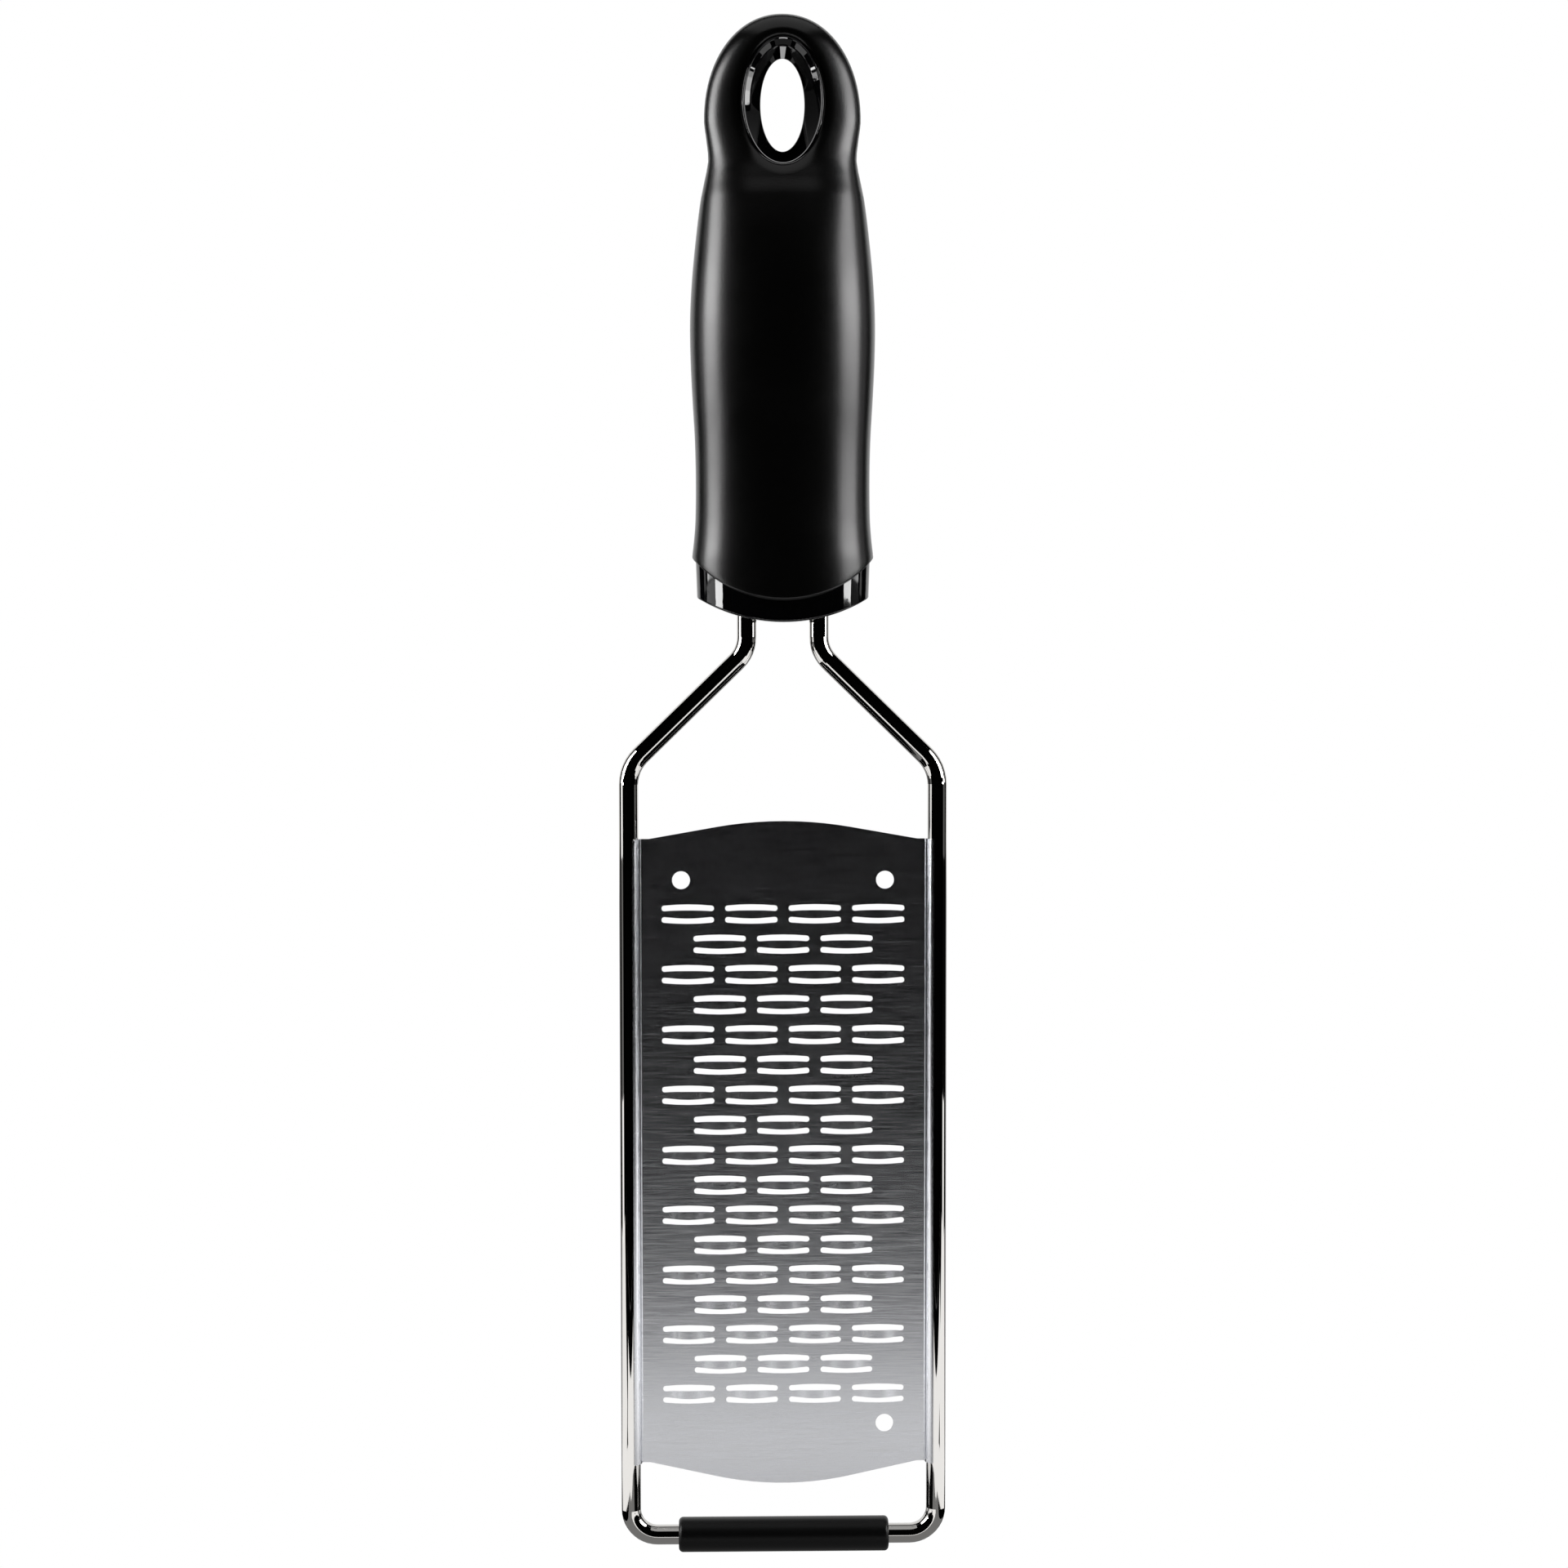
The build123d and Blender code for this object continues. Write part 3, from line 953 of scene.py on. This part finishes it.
floor_near = (-floor_half_mm, -floor_half_mm)
floor_far = (floor_half_mm, floor_half_mm)
level("floor", floor_near, floor_far, floor_mm, floor_paint, seen=True)
print("floor side, mm:", 2 * floor_half_mm)

# %% [markdown]
# ## Black flags
# Polished metal shows its surroundings, so most of what is seen of the wire is the set. In an
# all-white room it would fade into the background. Photographers stand black flags round such a
# tool, and so does this set: in front, at the sides, above and on the floor, open only at the back.
# The side flags stand behind the lights, and leave open what the outer edges of the wire mirror.

# %% Black flags
flag_low = floor_mm + 3
flag_high = 620
flag_front = -644
flag_half = 720
flag_radius = 840
flag_azimuths = (75, 108, 128)
top_flag_half = 900
top_flag_back = 600
floor_flag_half = 850
floor_flag_back = 300
floor_flag_height = floor_mm + 2

front_left = (-flag_half, flag_front)
front_right = (flag_half, flag_front)
upright("front_flag", front_left, front_right, flag_low, flag_high, flag_cloth)
top_near = (-top_flag_half, -top_flag_half)
level("top_flag", top_near, (top_flag_half, top_flag_back), flag_high, flag_cloth)
floor_flag_near = (-floor_flag_half, flag_front)
floor_flag_far = (floor_flag_half, floor_flag_back)
level("floor_flag", floor_flag_near, floor_flag_far, floor_flag_height, flag_cloth, shades=False)
for side in (-1, 1):
    posts = [(side * flag_half, flag_front)]
    posts += [round_the_tool(side * azimuth, flag_radius) for azimuth in flag_azimuths]
    for start, end in zip(posts, posts[1:]):
        upright("side_flag", start, end, flag_low, flag_high, flag_cloth)
print("open behind, degrees:", 2 * (180 - flag_azimuths[-1]))

# %% [markdown]
# ## Lit cards
# Cards are what the steel and the gloss plastic show between the flags: a pale table in front and
# beside the tool, a weak one under it, upright strips at each side and a dim ceiling. They could be
# lamps, but lamps would also light the rubber and the grip, so these only show in reflections. The
# small card behind the tool makes the gleam at the top of the hang ring. It lies under a honeycomb
# grid, as a real one could, so that the blade's back hardly catches it.

# %% Materials of the cards
grid_open = 0.28
grid_shut = 0.36
grid_leak = 0.3


def lit_card(radiance):
    """A lit card, where white paper in plain light is 1."""
    material, output = new_surface("lit_card")
    values = {"Color": linear("#ffffff"), "Strength": radiance}
    glow = add_node(material, "ShaderNodeEmission", values)
    material.node_tree.links.new(glow.outputs[0], output.inputs["Surface"])
    return material


def gridded_card(radiance):
    """A lit card behind a grid, which lets its light out straight and hides it from the side."""
    material, output = new_surface("gridded_card")
    facing = add_node(material, "ShaderNodeLayerWeight").outputs["Facing"]
    strength = add_node(
        material, "ShaderNodeMapRange",
        {"From Min": grid_open, "From Max": grid_shut, "To Min": radiance, "To Max": grid_leak},
        {"Value": facing},
    )
    glow = add_node(
        material, "ShaderNodeEmission", {"Color": linear("#ffffff")},
        {"Strength": strength.outputs["Result"]},
    )
    material.node_tree.links.new(glow.outputs[0], output.inputs["Surface"])
    return material


print("the grid shuts at", round(math.degrees(math.acos(1 - grid_shut))), "degrees")

# %% Level cards
table_height = floor_mm + 4
ceiling_height = flag_high - 2
table_radiance = 1.35
near_radiance = 0.26
back_radiance = 5.0
ceiling_radiance = 0.5
table = lit_card(table_radiance)
# Name, near left corner, far right corner, height and material
level_cards = [
    ("front_table_card", (-300, -525), (500, -370), table_height, table),
    ("left_table_card", (-850, -370), (-350, 250), table_height, table),
    ("right_table_card", (350, -370), (850, 250), table_height, table),
    ("near_table_card", (-200, -370), (200, 140), table_height, lit_card(near_radiance)),
    ("back_card", (-90, 140), (90, 420), table_height, gridded_card(back_radiance)),
    ("ceiling_card", (-400, -620), (400, 300), ceiling_height, lit_card(ceiling_radiance)),
]
for name, near_left, far_right, height, material in level_cards:
    level(name, near_left, far_right, height, material, shades=False)
print("level cards:", len(level_cards))

# %% [markdown]
# ## Curved table edge
# A wire mirrors the table in every direction at once. In the photograph its bright reflection ends at
# about the same height right across the wire, as it does where a table's edge is equally far all
# round. Straight cards leave a gap at a slant, so a curved strip fills most of it. It could be one
# mesh, but short flat pieces reflect as one curve and need no mesh helper of their own.

# %% Curved cards
arc_inner_mm = 385
arc_outer_mm = 450
arc_end_deg = 100
arc_parts = 10
arc_rise = 1
arc_height = table_height + arc_rise

for side in (-1, 1):
    for k in range(arc_parts):
        start_deg = side * arc_end_deg * k / arc_parts
        end_deg = side * arc_end_deg * (k + 1) / arc_parts
        edge = [
            (start_deg, arc_inner_mm), (end_deg, arc_inner_mm),
            (end_deg, arc_outer_mm), (start_deg, arc_outer_mm),
        ]
        corners = [(*round_the_tool(azimuth, radius), arc_height) for azimuth, radius in edge]
        panel("curved_table_card", corners, table, shades=False)
print("curved table edge, mm from the tool:", arc_inner_mm)

# %% [markdown]
# ## Upright cards
# At each side the wire mirrors a band of the set. One card a side would give it one brightness, but
# the photograph's wire darkens and brightens on its way down, and more so on the right. So each side
# is a stack of upright cards, each with a left and a right brightness of its own.

# %% Upright cards
card_radius = 820
# Low and high edge, start and end in degrees round the tool, and the left and right radiance
upright_cards = [
    (-118, 500, 92, 106, 0.8, 0.8),
    (-215, -118, 74, 101, 1.5, 0.15),
    (-335, -215, 74, 101, 0.2, 0.004),
    (flag_low, -335, 74, 101, 1.5, 1.3),
]
for low, high, start_deg, end_deg, left, right in upright_cards:
    for side, radiance in ((-1, left), (1, right)):
        start = round_the_tool(side * start_deg, card_radius)
        end = round_the_tool(side * end_deg, card_radius)
        upright("side_card", start, end, low, high, lit_card(radiance), shades=False)
print("upright cards on each side:", len(upright_cards))

# %% [markdown]
# ## World
# The world is the white backdrop. At full strength it would fill every shadow, so it lights the
# tool at less than half, and only the camera, mirrored rays and rays through clear pieces see it
# as white.

# %% World
fill_strength = 0.4

world = bpy.data.worlds.new("white_surround")
world.use_nodes = True
world.node_tree.nodes.clear()
bpy.context.scene.world = world
rays = add_node(world, "ShaderNodeLightPath")
seen = rays.outputs["Is Camera Ray"]
for kind in ("Is Glossy Ray", "Is Transmission Ray"):
    either = add_node(
        world, "ShaderNodeMath", {"operation": "MAXIMUM"}, {0: seen, 1: rays.outputs[kind]},
    )
    seen = either.outputs[0]
strength = add_node(world, "ShaderNodeMapRange", {"To Min": fill_strength}, {"Value": seen})
surround = add_node(
    world, "ShaderNodeBackground", {"Color": linear("#ffffff")},
    {"Strength": strength.outputs["Result"]},
)
add_node(world, "ShaderNodeOutputWorld", None, {"Surface": surround.outputs[0]})
print("world fill:", fill_strength)

# %% [markdown]
# ## Soft lights
# Two tall softboxes at the sides light the tool and draw the long highlights down the grip, the
# wire and the collar. One lamp on each side would give an even line from top to bottom, but the
# real highlights change width and brightness on the way down, as banks of lamps at different
# heights do. So each side is a stack of area lights, each with its own width and strength.

# %% Soft lights
light_radius = 800


def soft_light(name, start_mm, end_mm, low_mm, high_mm, radiance):
    """An upright soft light over the line from start to end, facing the tool."""
    start = Vector(start_mm) * MM
    end = Vector(end_mm) * MM
    centre = (start + end) / 2
    lamp = bpy.data.lights.new(name, "AREA")
    lamp.shape = "RECTANGLE"
    lamp.size = (end - start).length
    lamp.size_y = (high_mm - low_mm) * MM
    lamp.energy = radiance * math.pi * lamp.size * lamp.size_y
    stand = bpy.data.objects.new(name, lamp)
    bpy.context.scene.collection.objects.link(stand)
    stand.location = (*centre, (low_mm + high_mm) / 2 * MM)
    facing = Vector((-centre.x, -centre.y, 0))
    stand.rotation_euler = facing.to_track_quat("-Z", "Y").to_euler()
    stand.visible_camera = False


# Low and high edge in millimetres, start and end in degrees round the tool, and the radiance
left_boxes = [
    (-145, -118, 62, 75, 16.0), (-115, -85, 78, 94, 8.0), (-85, -30, 67, 92, 5.2),
    (-30, 80, 67, 92, 10.0), (80, 170, 67, 92, 13.0), (170, 380, 67, 92, 9.0),
    (380, 480, 67, 88, 9.0),
]
right_boxes = [
    (-132, -118, 63, 76, 14.0), (-115, -85, 78, 94, 5.0), (-85, -30, 58, 87, 4.8),
    (-30, 80, 58, 87, 7.5), (80, 170, 58, 87, 10.5), (170, 340, 58, 87, 6.0),
    (340, 460, 66, 87, 7.0),
]
for side, boxes in ((-1, left_boxes), (1, right_boxes)):
    for low, high, start_deg, end_deg, radiance in boxes:
        start = round_the_tool(side * start_deg, light_radius)
        end = round_the_tool(side * end_deg, light_radius)
        soft_light("tall_softbox", start, end, low, high, radiance)
print("soft lights:", len(left_boxes) + len(right_boxes))

# %% [markdown]
# ## Finish
# The picture is shown through the plain Standard transform, because a filmic one would change the
# colours that the materials were given. The box round the dressed tool is kept beside that of the
# solids, and the dressed tool's size is printed.

# %% Finish
bpy.context.scene.view_settings.view_transform = "Standard"
dressed_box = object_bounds()
boxes = {
    "cad": [list(corner) for corner in cad_box],
    "visual": [list(corner) for corner in dressed_box],
}
print("dressed tool, mm:", [round(size / MM, 1) for size in dressed_box[1] - dressed_box[0]])
